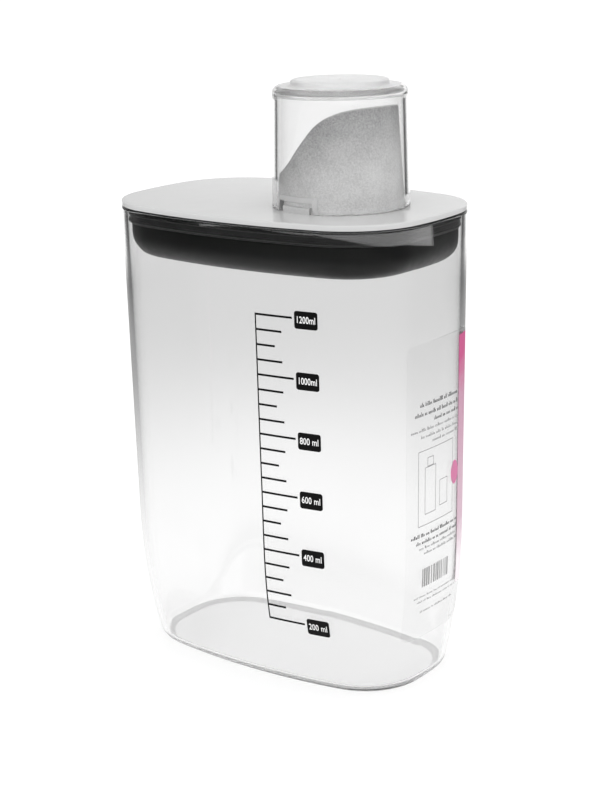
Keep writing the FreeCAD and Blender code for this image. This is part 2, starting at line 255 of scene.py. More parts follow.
# The floor. Each tuple is a change of brightness: where it starts and ends, in metres from the object
# or as a cosine against a direction, and the brightness before and after.
FLOOR_RADIUS = 9
FLOOR_DROP = 0.05 * MM
FLOOR_REFLECTANCE = 0.32
FLOOR_GLOW = 0.7
DARK_AHEAD = (0.85, 0.9, 1, 0)
DARK_DISTANCE = (0.4, 0.95, 0, 0.92)
DARK_FRONT = (-0.1, 0.4, 1, 0)
DARK_FRONT_DISTANCE = (0.2, 0.5, 0, 0.85)
THROUGH_BASE = (0.03, 0.09, 0.1, 0)
THROUGH_NEAR = (0.05, 0.62, 0.96, 0.74)
THROUGH_FAR = (0.85, 1.4, 0, 0.19)
THROUGH_DIMMING = 0.4
GLOSS_NEAR = (0.05, 0.5, 0.95, 0.35)
GLOSS_FAR = (0.7, 0.9, 0, 0.65)

# A white card in front of the object, which the glossy wall reflects under the lid: how far away it
# starts and ends, how its near edge slants and bends along the view's side and steps back at the
# left, the horizontal direction that it faces, and its brightness.
CARD_NEAR = 0.842
CARD_SLANT = 0.013
CARD_BEND = 0.04
CARD_BEND_POWER = 4
CARD_LEFT_END = (-0.9, -0.65, CARD_NEAR + 0.04, CARD_NEAR)
CARD_FAR = 0.965
CARD_SIDE = (0.755, -0.656, 0)
CARD_BACK = -0.03
CARD_LEVEL = 1.5

# The surroundings, with changes of brightness as for the floor
SKY_BRIGHT_SIDE = (0.55, -0.45, 0.7)
SKY_LIGHT = (-1, 1, 0.85, 1.45)
SKY_THROUGH = 0.6
SKY_LEFT = (-0.2, 0.05, 0.5, 1.0)
SKY_SIDES = (0.45, 0.8, 1.0, 0.04)
SKY_OVERHEAD = (0.55, 0.75, 0, 1)


# ---------------------------------------------------------------- mesh helpers

def spread(start, end, count):
    """Evenly spaced values from start to end, both included."""
    return [start + (end - start) * index / (count - 1) for index in range(count)]


def rounding(radius, count):
    """Points round a quarter circle: how far each has come inwards, and how far it is still back."""
    turns = spread(0.0, math.pi / 2, count)
    return [(radius * (1 - math.cos(turn)), radius * (1 - math.sin(turn))) for turn in turns]


def outline(half_length, half_width, inset, corner=CORNER_RADIUS):
    """Points round the rounded plan shape: two bulged sides, two bulged ends, four corners."""
    long_radius = LONG_SIDE_RADIUS - inset
    short_radius = SHORT_SIDE_RADIUS - inset
    corner = corner - inset
    long_centre = Vector((0, half_width - inset - long_radius))
    short_centre = Vector((half_length - inset - short_radius, 0))
    reach_long = long_radius - corner
    reach_short = short_radius - corner
    apart = short_centre - long_centre
    forward = (apart.length ** 2 + reach_long ** 2 - reach_short ** 2) / (2 * apart.length)
    aside = math.sqrt(reach_long ** 2 - forward ** 2)
    unit = apart.normalized()
    corner_centre = long_centre + unit * forward + Vector((unit.y, -unit.x)) * aside
    to_short = corner_centre - short_centre
    to_long = corner_centre - long_centre
    turn_short = math.atan2(to_short.y, to_short.x)
    turn_long = math.atan2(to_long.y, to_long.x)
    quarter = []
    for centre, radius, first, last, count in (
        (short_centre, short_radius, 0.0, turn_short, SHORT_STEPS),
        (corner_centre, corner, turn_short, turn_long, CORNER_STEPS),
        (long_centre, long_radius, turn_long, math.pi / 2, LONG_STEPS),
    ):
        turns = spread(first, last, count)
        arc = [centre + radius * Vector((math.cos(turn), math.sin(turn))) for turn in turns]
        quarter += arc if not quarter else arc[1:]
    half = quarter + [Vector((-p.x, p.y)) for p in reversed(quarter[:-1])]
    return half + [Vector((p.x, -p.y)) for p in reversed(half[1:-1])]


def rim_ring(inset, z):
    """The plan shape at the rim, moved inwards."""
    return [Vector((p.x, p.y, z)) for p in outline(HALF_LENGTH, HALF_WIDTH, inset)]


def jar_ring(inset, z):
    """The jar's plan shape at a height, moved inwards."""
    depth = RIM - z
    tuck = max(0.0, 1 - z / TUCK_HEIGHT) ** 2
    half_length = HALF_LENGTH - DRAFT_LENGTH * depth - TUCK_LENGTH * tuck
    half_width = HALF_WIDTH - DRAFT_WIDTH * depth - TUCK_WIDTH * tuck
    shrink = (half_length / HALF_LENGTH + half_width / HALF_WIDTH) / 2
    plan = outline(half_length, half_width, inset, CORNER_RADIUS * shrink)
    return [Vector((p.x, p.y, z)) for p in plan]


def circle_ring(radius, z, angles):
    """A ring round the spout's axis, with a point at each angle."""
    return [Vector((SPOUT_X + radius * math.cos(a), radius * math.sin(a), z)) for a in angles]


def facing_ring(ring, radius, z):
    """A ring round the spout's axis, its points in the directions of another ring's points."""
    angles = [math.atan2(p.y, p.x - SPOUT_X) for p in ring]
    return circle_ring(radius, z, angles)


def loft(name, rings, closed=False, finishes=None):
    """A mesh through rings of equally many points, capped at both ends or closed on itself.
    finishes gives the material number of a row of faces, where it isn't 0."""
    mesh = bmesh.new()
    rows = [[mesh.verts.new(p) for p in ring] for ring in rings]
    count = len(rows[0])
    pairs = list(zip(rows, rows[1:]))
    if closed:
        pairs.append((rows[-1], rows[0]))
    for number, (low, high) in enumerate(pairs):
        for index in range(count):
            after = (index + 1) % count
            face = mesh.faces.new((low[index], low[after], high[after], high[index]))
            face.material_index = (finishes or {}).get(number, 0)
    if not closed:
        mesh.faces.new(list(reversed(rows[0])))
        mesh.faces.new(rows[-1])
    bmesh.ops.recalc_face_normals(mesh, faces=mesh.faces)
    return finished(name, mesh)


def finished(name, mesh):
    """Turns a bmesh into a smooth-shaded object in the scene."""
    for face in mesh.faces:
        face.smooth = True
    data = bpy.data.meshes.new(name)
    mesh.to_mesh(data)
    mesh.free()
    piece = bpy.data.objects.new(name, data)
    bpy.context.scene.collection.objects.link(piece)
    return piece


def keep_sharp(piece, angle):
    """Smooth shading that stays sharp where faces meet at more than an angle, in degrees."""
    piece.data.set_sharp_from_angle(angle=math.radians(angle))


def place(piece, body, material, node=None):
    """Gives a piece its body and its material, and hides the CAD node it replaces."""
    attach(piece, body)
    piece.data.materials.append(material)
    if node:
        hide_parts(node)


def paint(node, material):
    """Gives a CAD node one material."""
    node.data.materials.clear()
    node.data.materials.append(material)


# ---------------------------------------------------------------- shader node helpers

def between(tree, value, start, end, low, high):
    """Maps a value from one range onto another, held at both ends."""
    node = tree.nodes.new("ShaderNodeMapRange")
    node.interpolation_type = "SMOOTHSTEP"
    node.inputs["From Min"].default_value = start
    node.inputs["From Max"].default_value = end
    node.inputs["To Min"].default_value = low
    node.inputs["To Max"].default_value = high
    tree.links.new(value, node.inputs["Value"])
    return node.outputs["Result"]


def calculate(tree, operation, *values):
    """The result of a math node on numbers or other nodes' values."""
    node = tree.nodes.new("ShaderNodeMath")
    node.operation = operation
    for socket, value in zip(node.inputs, values):
        if isinstance(value, (int, float)):
            socket.default_value = value
        else:
            tree.links.new(value, socket)
    return node.outputs["Value"]


def blend(tree, share, low, high):
    """A value between low and high, at a share of the way."""
    node = tree.nodes.new("ShaderNodeMix")
    for name, value in (("Factor", share), ("A", low), ("B", high)):
        if isinstance(value, (int, float)):
            node.inputs[name].default_value = value
        else:
            tree.links.new(value, node.inputs[name])
    return node.outputs["Result"]


def along(tree, direction, axis):
    """How far a point lies along an axis or, for a direction, its cosine against the axis."""
    node = tree.nodes.new("ShaderNodeVectorMath")
    node.operation = "DOT_PRODUCT"
    tree.links.new(direction, node.inputs[0])
    node.inputs[1].default_value = Vector(axis).normalized()
    return node.outputs["Value"]


# ---------------------------------------------------------------- materials

def new_material(name, colour, roughness, **sockets):
    """A Principled material; the other sockets are plain numbers set by name."""
    material = bpy.data.materials.new(name)
    material.use_nodes = True
    shader = material.node_tree.nodes["Principled BSDF"]
    shader.inputs["Base Color"].default_value = (*colour, 1)
    shader.inputs["Roughness"].default_value = roughness
    for socket, value in sockets.items():
        shader.inputs[socket.replace("_", " ")].default_value = value
    return material


def noise(material, scale, detail=3.0, stretch=(1, 1, 1)):
    """A noise value from 0 to 1 over the piece, with features about 1/scale metres across."""
    tree = material.node_tree
    coords = tree.nodes.new("ShaderNodeTexCoord")
    mapping = tree.nodes.new("ShaderNodeMapping")
    mapping.inputs["Scale"].default_value = stretch
    texture = tree.nodes.new("ShaderNodeTexNoise")
    texture.inputs["Scale"].default_value = scale
    texture.inputs["Detail"].default_value = detail
    tree.links.new(coords.outputs["Object"], mapping.inputs["Vector"])
    tree.links.new(mapping.outputs["Vector"], texture.inputs["Vector"])
    return texture.outputs["Fac"]


def vary(material, socket, value, low, high):
    """Drives a number on the shader from a noise value, between two limits."""
    tree = material.node_tree
    node = tree.nodes.new("ShaderNodeMapRange")
    node.inputs["From Min"].default_value = NOISE_LOW
    node.inputs["From Max"].default_value = NOISE_HIGH
    node.inputs["To Min"].default_value = low
    node.inputs["To Max"].default_value = high
    tree.links.new(value, node.inputs["Value"])
    tree.links.new(node.outputs["Result"], tree.nodes["Principled BSDF"].inputs[socket])


def tint(material, value, dark, light):
    """Drives the base colour from a noise value, between two colours."""
    tree = material.node_tree
    mix = tree.nodes.new("ShaderNodeMix")
    mix.data_type = "RGBA"
    mix.inputs["A"].default_value = (*dark, 1)
    mix.inputs["B"].default_value = (*light, 1)
    tree.links.new(value, mix.inputs["Factor"])
    tree.links.new(mix.outputs["Result"], tree.nodes["Principled BSDF"].inputs["Base Color"])


def bump(material, value, height):
    """Raises the surface by a noise value, by a height in metres."""
    tree = material.node_tree
    node = tree.nodes.new("ShaderNodeBump")
    node.inputs["Strength"].default_value = 1.0
    node.inputs["Distance"].default_value = height
    tree.links.new(value, node.inputs["Height"])
    tree.links.new(node.outputs["Normal"], tree.nodes["Principled BSDF"].inputs["Normal"])


def grey(level):
    """A neutral colour."""
    return (level, level, level)


def clear_plastic(name, level):
    """Polished clear moulded plastic: slightly uneven tint, faint flow waves and fine haze."""
    material = new_material(name, grey(level), 0.02, Transmission_Weight=1.0, IOR=CLEAR_IOR)
    flow = noise(material, 14, 1, (1, 1, 0.35))
    tint(material, flow, grey(level - 0.008), grey(level))
    vary(material, "Roughness", noise(material, 60, 4), 0.0, 0.02)
    bump(material, flow, 0.02 * MM)
    return material


def hazy_and_highlight_plastic(name, clarity, level):
    """Clear plastic with a fine texture that scatters light, as on the cup's foot. On the cup's lower
    edge, round its notch and on the jar's rounded base edge, its whitish scatter is a painted highlight
    that pales them.
    """
    material = new_material(name, grey(level), 0.3, Transmission_Weight=clarity, IOR=CLEAR_IOR)
    grain = noise(material, 2400, 2)
    tint(material, noise(material, 90), grey(level - 0.03), grey(level))
    vary(material, "Roughness", grain, 0.28, 0.4)
    bump(material, grain, 0.002 * MM)
    return material


def glossy_grey_plastic(name):
    material = new_material(name, grey(0.53), 0.16, Specular_IOR_Level=0.2)
    tint(material, noise(material, 45), grey(0.515), grey(0.545))
    vary(material, "Roughness", noise(material, 140, 5), 0.06, 0.14)
    bump(material, noise(material, 900, 2), 0.003 * MM)
    return material


def matt_grey_painted_shade_plastic(name, darkest, lightest):
    """Spark-textured moulded plastic: fine grain, and painted shade that makes its tone darker towards
    its top.
    """
    material = new_material(name, grey(0.5), 0.5)
    grain = noise(material, 1600, 2)
    cloud = noise(material, 130, 4)
    tree = material.node_tree
    coords = tree.nodes.new("ShaderNodeTexCoord")
    height = along(tree, coords.outputs["Object"], PAINTED_SHADE_DIRECTION)
    painted_shade_shift = between(tree, height, *SPOUT_PAINTED_SHADE_HEIGHTS, *SPOUT_PAINTED_SHADE_SHIFTS)
    texture = blend(tree, 0.65, cloud, grain)
    tint(material, calculate(tree, "ADD", texture, painted_shade_shift), grey(darkest), grey(lightest))
    vary(material, "Roughness", grain, 0.42, 0.6)
    bump(material, grain, 0.03 * MM)
    return material


def black_plastic(name):
    material = new_material(name, grey(0.008), 0.34, Specular_IOR_Level=0.3)
    tint(material, noise(material, 160), grey(0.006), grey(0.011))
    vary(material, "Roughness", noise(material, 420, 4), 0.3, 0.4)
    bump(material, noise(material, 1500, 2), 0.002 * MM)
    return material


def silicone(name):
    material = new_material(name, grey(0.014), 0.42, Sheen_Weight=0.1)
    tint(material, noise(material, 200), grey(0.01), grey(0.02))
    vary(material, "Roughness", noise(material, 800, 4), 0.36, 0.52)
    bump(material, noise(material, 1900, 2), 0.01 * MM)
    return material


def printed_ink(name, colour, patchy=0.15):
    """Screen-printed ink, a little uneven in cover."""
    material = new_material(name, colour, 0.5, Specular_IOR_Level=0.12)
    tint(material, noise(material, 900, 5), [c * (1 - patchy) for c in colour], colour)
    vary(material, "Roughness", noise(material, 1500, 3), 0.42, 0.6)
    return material


def fading_ink(name, stops):
    """Ink with printed_ink's finish, but with a colour that pales down its height. stops gives the
    colour at each of several heights, and a noise shifts them a little up and down."""
    shift = 8 * MM
    material = printed_ink(name, stops[-1][1])
    tree = material.node_tree
    coords = tree.nodes.new("ShaderNodeTexCoord")
    height = along(tree, coords.outputs["Object"], (0, 0, 1))
    cloud = calculate(tree, "MULTIPLY", noise(material, 240, 4), 2 * shift)
    height = calculate(tree, "SUBTRACT", calculate(tree, "ADD", height, cloud), shift)
    low = stops[0][0]
    high = stops[-1][0]
    ramp = tree.nodes.new("ShaderNodeValToRGB")
    ramp.color_ramp.elements[0].color = (*stops[0][1], 1)
    ramp.color_ramp.elements[1].color = (*stops[-1][1], 1)
    for z, colour in stops[1:-1]:
        ramp.color_ramp.elements.new((z - low) / (high - low)).color = (*colour, 1)
    share = calculate(tree, "DIVIDE", calculate(tree, "SUBTRACT", height, low), high - low)
    tree.links.new(share, ramp.inputs["Fac"])
    tree.links.new(ramp.outputs["Color"], tree.nodes["Principled BSDF"].inputs["Base Color"])
    return material


def clear_film(name):
    material = new_material(name, grey(0.97), 0.05, Transmission_Weight=1.0, IOR=1.12)
    vary(material, "Roughness", noise(material, 70, 4), 0.03, 0.09)
    bump(material, noise(material, 40, 2), 0.03 * MM)
    return material


# ---------------------------------------------------------------- pieces

def wall_heights(low, high):
    """Heights of a wall's rows, with a close pair at the top that keeps the shading true there."""
    return spread(low, high - TOP_ROW, WALL_ROWS) + [high]


def make_jar(clear, base_haze_highlight):
    """One loft: the base's underside, up the outside, over the rim and down the inside to the floor."""
    inner_radius = BASE_EDGE_RADIUS - WALL
    wall_top = RIM - RIM_EDGE_RADIUS
    base = rounding(BASE_EDGE_RADIUS, ROUND_ROWS)
    inner_base = rounding(inner_radius, ROUND_ROWS)[:-1]
    rim = rounding(RIM_EDGE_RADIUS, EDGE_ROWS)
    rings = [jar_ring(BASE_EDGE_RADIUS + BASE_BAND, 0)]
    rings += [jar_ring(inset, up) for up, inset in base]
    rings += [jar_ring(0, z) for z in wall_heights(BASE_EDGE_RADIUS, wall_top)[1:]]
    rings += [jar_ring(inset, RIM - down) for inset, down in rim[1:]]
    rings += [jar_ring(WALL - inset, RIM - down) for inset, down in reversed(rim)]
    rings += [jar_ring(WALL, z) for z in reversed(wall_heights(FLOOR + inner_radius, wall_top)[:-1])]
    rings += [jar_ring(WALL + inset, FLOOR + up) for up, inset in reversed(inner_base)]
    rings.append(jar_ring(BASE_EDGE_RADIUS + BASE_BAND, FLOOR))
    # Rows up the base's rounded edge take a hazy copy, painted light that pales the edge's dark line.
    piece = loft("jar", rings, finishes={row: 1 for row in BASE_HIGHLIGHT_HAZE_ROWS})
    place(piece, "jar", clear, "container_body")
    piece.data.materials.append(base_haze_highlight)


def make_plate(material):
    """A closed loft round the plate's section, from the hole along the underside, round the edge and
    back along the top."""
    hole = SPOUT_BASE_RADIUS + HOLE_CLEARANCE
    outer = rim_ring(0, PLATE_BOTTOM)
    rings = [facing_ring(outer, hole, PLATE_BOTTOM), facing_ring(outer, hole + HOLE_BAND, PLATE_BOTTOM)]
    rings.append(rim_ring(PLATE_BAND, PLATE_BOTTOM))
    for up, inset in rounding(PLATE_LOWER_RADIUS, EDGE_ROWS):
        rings.append(rim_ring(inset, PLATE_BOTTOM + up))
    for inset, down in rounding(PLATE_EDGE_RADIUS, PLATE_EDGE_ROWS):
        rings.append(rim_ring(inset, PLATE_TOP - down))
    rings.append(rim_ring(PLATE_BAND, PLATE_TOP))
    rings.append(facing_ring(outer, hole + HOLE_BAND, PLATE_TOP))
    rings.append(facing_ring(outer, hole, PLATE_TOP))
    piece = loft("lid_cover", rings, closed=True)
    keep_sharp(piece, SHARP_ANGLE)
    place(piece, "lid", material, "lid_plate")


def make_plug(material):
    """A closed loft round the plug's section: the throat's mouth, the underside, the rounded edge, the
    wall, the gasket's rebate, and the top with its recess for the spout's flange."""
    bottom = PLUG_LOW.z
    rebate_bottom = GASKET_LOW.z
    recess = SPOUT_FLANGE_RADIUS + FLANGE_CLEARANCE
    recess_bottom = PLATE_BOTTOM - SPOUT_FLANGE
    outer = rim_ring(PLUG_INSET, bottom)
    rings = []
    for out, up in rounding(PLUG_MOUTH_RADIUS, FILLET_ROWS):
        rings.append(facing_ring(outer, SPOUT_BORE_RADIUS + out, bottom + up))
    rings.append(rim_ring(PLUG_INSET + PLUG_EDGE_RADIUS + PLUG_BAND, bottom))
    for up, inset in rounding(PLUG_EDGE_RADIUS, PLUG_EDGE_ROWS):
        rings.append(rim_ring(PLUG_INSET + inset, bottom + up))
    rings.append(rim_ring(PLUG_INSET, rebate_bottom - REBATE_BEVEL))
    rings.append(rim_ring(PLUG_INSET + REBATE_BEVEL, rebate_bottom))
    rings.append(rim_ring(PLUG_INSET + PLUG_REBATE, rebate_bottom))
    rings.append(rim_ring(PLUG_INSET + PLUG_REBATE, PLATE_BOTTOM))
    rings.append(facing_ring(outer, recess, PLATE_BOTTOM))
    rings.append(facing_ring(outer, recess, recess_bottom))
    rings.append(facing_ring(outer, SPOUT_BORE_RADIUS, recess_bottom))
    piece = loft("plug", rings, closed=True)
    keep_sharp(piece, SHARP_ANGLE)
    place(piece, "lid", material, "lid_plug")


def make_gasket(material):
    """A band with two rounded lips, and a thin flange between the rim and the plate."""
    bottom = GASKET_LOW.z
    top = GASKET_HIGH.z
    inner = PLUG_INSET + PLUG_REBATE
    rings = [rim_ring(inner, top), rim_ring(inner, bottom)]
    rings.append(rim_ring(GASKET_INSET + GASKET_BEVEL, bottom))
    rings.append(rim_ring(GASKET_INSET, bottom + GASKET_BEVEL))
    for depth in sorted(LIP_DEPTHS, reverse=True):
        middle = RIM - depth
        for turn in spread(-math.pi / 2, math.pi / 2, LIP_ROWS):
            inset = GASKET_INSET - LIP_REACH * math.cos(turn)
            rings.append(rim_ring(inset, middle + LIP_HEIGHT / 2 * math.sin(turn)))
    rings.append(rim_ring(GASKET_INSET, top - FLANGE))
    rings.append(rim_ring(FLANGE_INSET + FLANGE / 2, top - FLANGE))
    rings.append(rim_ring(FLANGE_INSET, top - FLANGE / 2))
    rings.append(rim_ring(FLANGE_INSET + FLANGE / 2, top))
    piece = loft("gasket", rings, closed=True)
    keep_sharp(piece, GASKET_SHARP_ANGLE)
    place(piece, "lid", material, "lid_gasket")


def cut_height(x):
    """Height above the plate of the spout's S-shaped edge, at a distance from its axis across it."""
    slope_sine = math.sin(CUT_SLOPE)
    slope_cosine = math.cos(CUT_SLOPE)
    run = CUT_END - CUT_START
    rise = SPOUT_HIGH - SPOUT_LOW
    low_run = CUT_LOW_RADIUS * slope_sine
    low_rise = CUT_LOW_RADIUS * (1 - slope_cosine)
    left_run = run - low_run
    left_rise = rise - low_rise
    high_radius = (left_run * slope_sine - left_rise * slope_cosine) / (1 - slope_cosine)
    high_run = high_radius * slope_sine
    done = x - CUT_START
    if done <= 0:
        return SPOUT_LOW
    if done < low_run:
        return SPOUT_LOW + CUT_LOW_RADIUS - math.sqrt(CUT_LOW_RADIUS ** 2 - done ** 2)
    if done < run - high_run:
        return SPOUT_LOW + low_rise + (done - low_run) * math.tan(CUT_SLOPE)
    if done < run:
        return SPOUT_HIGH - high_radius + math.sqrt(high_radius ** 2 - (run - done) ** 2)
    return SPOUT_HIGH


def edge_rows(wall, radius, count):
    """Rows round the end of a wall, outside to inside: distance inwards, and distance back from it."""
    outside = rounding(radius, count)
    inside = [(wall - inwards, back) for inwards, back in reversed(outside)]
    return outside + inside


def make_spout(material, rim_painted_highlight, lug_painted_shade):
    """A closed loft round the wall's section: the flange, up the outside, over the S-shaped edge and
    down the bore."""
    angles = [2 * math.pi * index / ROUND_COLUMNS for index in range(ROUND_COLUMNS)]

    def outer_radius(height):
        return SPOUT_BASE_RADIUS - SPOUT_DRAFT * max(0.0, height)

    def edge_height(angle, inwards, back):
        """The wall's radius depends on the height and the other way round, so it is found in steps."""
        height = SPOUT_LOW
        for _ in range(CUT_ROUNDS):
            radius = outer_radius(height) - inwards
            height = cut_height(radius * math.cos(angle - CUT_TURN)) - back
        return height

    def wall_ring(share, inwards, back):
        ring = []
        for angle in angles:
            height = edge_height(angle, inwards, back) * share
            radius = outer_radius(height) - inwards
            ring += circle_ring(radius, PLATE_TOP + height, [angle])
        return ring

    edge = edge_rows(SPOUT_WALL, SPOUT_EDGE_RADIUS, EDGE_ROWS)
    flange_bottom = PLATE_BOTTOM - SPOUT_FLANGE
    flange_top = PLATE_BOTTOM - FLANGE_GAP
    rings = [
        circle_ring(SPOUT_BORE_RADIUS, flange_bottom, angles),
        circle_ring(SPOUT_FLANGE_RADIUS, flange_bottom, angles),
        circle_ring(SPOUT_FLANGE_RADIUS, flange_top, angles),
        circle_ring(SPOUT_BASE_RADIUS, flange_top, angles),
    ]
    rings += [wall_ring(share, *edge[0]) for share in spread(0, 1, WALL_ROWS)]
    rim_start = len(rings) - 1
    rings += [wall_ring(1, *row) for row in edge[1:]]
    rim_rows = range(rim_start, len(rings) - 1)
    rings += [wall_ring(share, *edge[-1]) for share in spread(1, 0, WALL_ROWS)[1:]]
    # The rim's rows take a lighter copy of the spout's plastic, a painted highlight along the edge.
    piece = loft("spout", rings, closed=True, finishes={row: 1 for row in rim_rows})
    add_lug(piece)
    keep_sharp(piece, SHARP_ANGLE)
    place(piece, "lid", material, "pour_spout")
    piece.data.materials.append(rim_painted_highlight)
    # The lug takes a darker copy of the spout's plastic, painted shade.
    piece.data.materials.append(lug_painted_shade)


def add_lug(piece):
    """Adds a rounded block on the foot of the spout, which keys the cup's mouth. It is a loft through
    profiles side by side, and it has the piece's third material."""
    half_turn = LUG_WIDTH / 2 / LUG_RADIUS
    profile = [(LUG_ROOT_RADIUS, 0), (LUG_RADIUS, 0)]
    for back, down in rounding(LUG_EDGE_RADIUS, FILLET_ROWS):
        profile.append((LUG_RADIUS - back, LUG_HEIGHT - down))
    profile.append((LUG_ROOT_RADIUS, LUG_HEIGHT))
    mesh = bmesh.new()
    mesh.from_mesh(piece.data)
    rows = []
    for angle in spread(LUG_ANGLE - half_turn, LUG_ANGLE + half_turn, LUG_COLUMNS):
        points = [circle_ring(radius, PLATE_TOP + height, [angle])[0] for radius, height in profile]
        rows.append([mesh.verts.new(point) for point in points])
    new_faces = []
    for low, high in zip(rows, rows[1:]):
        for index in range(len(low)):
            after = (index + 1) % len(low)
            new_faces.append(mesh.faces.new((low[index], low[after], high[after], high[index])))
    new_faces.append(mesh.faces.new(rows[0]))
    new_faces.append(mesh.faces.new(list(reversed(rows[-1]))))
    for face in new_faces:
        face.smooth = True
        face.material_index = 2
    bmesh.ops.recalc_face_normals(mesh, faces=new_faces)
    mesh.to_mesh(piece.data)
    mesh.free()


def beside_notch(angle):
    """Distance along the cup's mouth from the nearer end of the notch, negative inside the notch."""
    away = math.remainder(angle - LUG_ANGLE, 2 * math.pi)
    return abs(away) * CUP_MOUTH_RADIUS - NOTCH_HALF_WIDTH


def notch_lift(angle):
    """How far the cup's lower edge is raised at an angle, to clear the lug."""
    height = PLATE_TOP + LUG_HEIGHT + NOTCH_CLEARANCE - CUP_LOW.z
    share = min(1.0, max(0.0, 0.5 - beside_notch(angle) / (2 * NOTCH_CORNER)))
    return height * share * share * (3 - 2 * share)


def cup_angles():
    """Columns round the cup, closer together at the ends of the notch."""
    even = [2 * math.pi * index / ROUND_COLUMNS for index in range(ROUND_COLUMNS)]
    reach = NOTCH_END_REACH / CUP_MOUTH_RADIUS
    ends = []
    for side in (-1, 1):
        centre = (LUG_ANGLE + side * NOTCH_HALF_WIDTH / CUP_MOUTH_RADIUS) % (2 * math.pi)
        ends += spread(centre - reach, centre + reach, NOTCH_END_COLUMNS)
    clear = [angle for angle in even if min(abs(angle - end) for end in ends) > NOTCH_END_SPACE]
    return sorted(clear + ends)


def make_cup(clear, foot_haze, edge_painted_highlight):
    """One loft: the ceiling inside, down the inside, round the notched mouth, up the outside, over the
    shoulder and up the foot to its top."""
    angles = cup_angles()
    bottom = CUP_LOW.z
    top = CUP_HIGH.z - CUP_FOOT_HEIGHT
    ceiling = top - CUP_CEILING
    shoulder = top - CUP_SHOULDER_RADIUS
    draft = (CUP_MOUTH_RADIUS - CUP_TOP_RADIUS) / (top - bottom)

    def outer_radius(z):
        return CUP_MOUTH_RADIUS - draft * (z - bottom)

    def wall_ring(share, inwards, back, upper):
        ring = []
        for angle in angles:
            lower = bottom + notch_lift(angle) + back
            z = lower + (upper - lower) * share
            ring += circle_ring(outer_radius(z) - inwards, z, [angle])
        return ring

    edge = edge_rows(CUP_WALL, CUP_LIP_RADIUS, FILLET_ROWS)
    inner_radius = outer_radius(ceiling) - CUP_WALL
    inner_top = ceiling - CUP_INNER_RADIUS
    rings = [
        circle_ring(CUP_CENTRE_RADIUS, ceiling, angles),
        circle_ring(inner_radius - CUP_INNER_RADIUS - CUP_CEILING_BAND, ceiling, angles),
    ]
    for down, inset in rounding(CUP_INNER_RADIUS, ROUND_ROWS):
        rings.append(circle_ring(inner_radius - inset, ceiling - down, angles))
    rings += [wall_ring(share, *edge[-1], inner_top) for share in spread(1, 0, WALL_ROWS)[1:]]
    mouth_start = len(rings) - 1
    rings += [wall_ring(0, *row, top) for row in reversed(edge[:-1])]
    mouth_rows = range(mouth_start, len(rings) - 1)
    rings += [wall_ring(share, *edge[0], shoulder) for share in spread(0, 1, WALL_ROWS)[1:]]
    for inset, down in rounding(CUP_SHOULDER_RADIUS, ROUND_ROWS)[1:]:
        rings.append(circle_ring(outer_radius(shoulder) - inset, top - down, angles))
    foot_start = len(rings) - 1
    for up, out in rounding(CUP_FOOT_FILLET, FILLET_ROWS):
        rings.append(circle_ring(CUP_FOOT_RADIUS + out, top + up, angles))
    crest = top + CUP_FOOT_HEIGHT
    for inset, down in rounding(CUP_FOOT_EDGE, FILLET_ROWS):
        rings.append(circle_ring(CUP_FOOT_RADIUS - inset, crest - down, angles))
    rings.append(circle_ring(CUP_CENTRE_RADIUS, crest, angles))
    finishes = {row: 1 for row in range(foot_start, len(rings))}
    # The mouth's rows and the faces round the notch take a hazy copy whose whitish scatter is a painted
    # highlight along the cut edges.
    finishes.update({row: 2 for row in mouth_rows})
    piece = loft("cup", rings, finishes=finishes)
    notch_top = bottom + notch_lift(LUG_ANGLE)
    for face in piece.data.polygons:
        centre = face.center
        beside = beside_notch(math.atan2(centre.y, centre.x - SPOUT_X))
        if max(beside, centre.z - notch_top) < NOTCH_HIGHLIGHT_HAZE:
            face.material_index = 2
    place(piece, "cup", clear, "measuring_cup")
    piece.data.materials.append(foot_haze)
    piece.data.materials.append(edge_painted_highlight)


# ---------------------------------------------------------------- print on the jar and the label

def surface_of(node):
    """A ray caster over one CAD node at rest."""
    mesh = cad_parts[node].data
    points = [v.co.copy() for v in mesh.vertices]
    faces = [list(p.vertices) for p in mesh.polygons]
    return BVHTree.FromPolygons(points, faces)


def onto(surface, start, direction, lift):
    """The point of the surface that a ray meets, lifted off it towards the ray's start."""
    hit = surface.ray_cast(start, direction)[0]
    if hit is None:
        raise ValueError(f"nothing to print on at {start}")
    return hit - direction * lift


def make_number(volume, surface, material):
    """The number on a badge, condensed and rather bold, laid on the badge's surface."""
    low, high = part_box(f"scale_badge_{volume}")
    curve = bpy.data.curves.new(f"figures_{volume}", "FONT")
    curve.body = f"{volume}ml" if volume >= 1000 else f"{volume} ml"
    curve.align_x = "CENTER"
    curve.align_y = "CENTER"
    curve.size = FIGURE_SIZE
    curve.offset = FIGURE_BOLDNESS
    curve.space_character = FIGURE_SPACING
    text = bpy.data.objects.new(f"text_{volume}", curve)
    bpy.context.scene.collection.objects.link(text)
    bpy.context.view_layer.update()
    evaluated = text.evaluated_get(bpy.context.evaluated_depsgraph_get())
    flat = bpy.data.meshes.new_from_object(evaluated)
    bpy.data.objects.remove(text)
    mesh = bmesh.new()
    mesh.from_mesh(flat)
    bpy.data.meshes.remove(flat)
    centre = (low + high) / 2
    widest = max(abs(vert.co.x) for vert in mesh.verts)
    narrowing = min(1.0, FIGURE_REACH * (high.x - low.x) / widest)
    for vert in mesh.verts:
        start = Vector((centre.x + vert.co.x * narrowing, 2 * low.y, centre.z + vert.co.y))
        vert.co = onto(surface, start, Vector((0, 1, 0)), FIGURE_LIFT)
    place(finished(f"figures_{volume}", mesh), "jar", material)


def on_label(surface, y, z):
    """The point of the label's outer surface at a y and z, lifted for print."""
    return onto(surface, Vector((2 * HALF_LENGTH, y, z)), Vector((-1, 0, 0)), PRINT_LIFT)


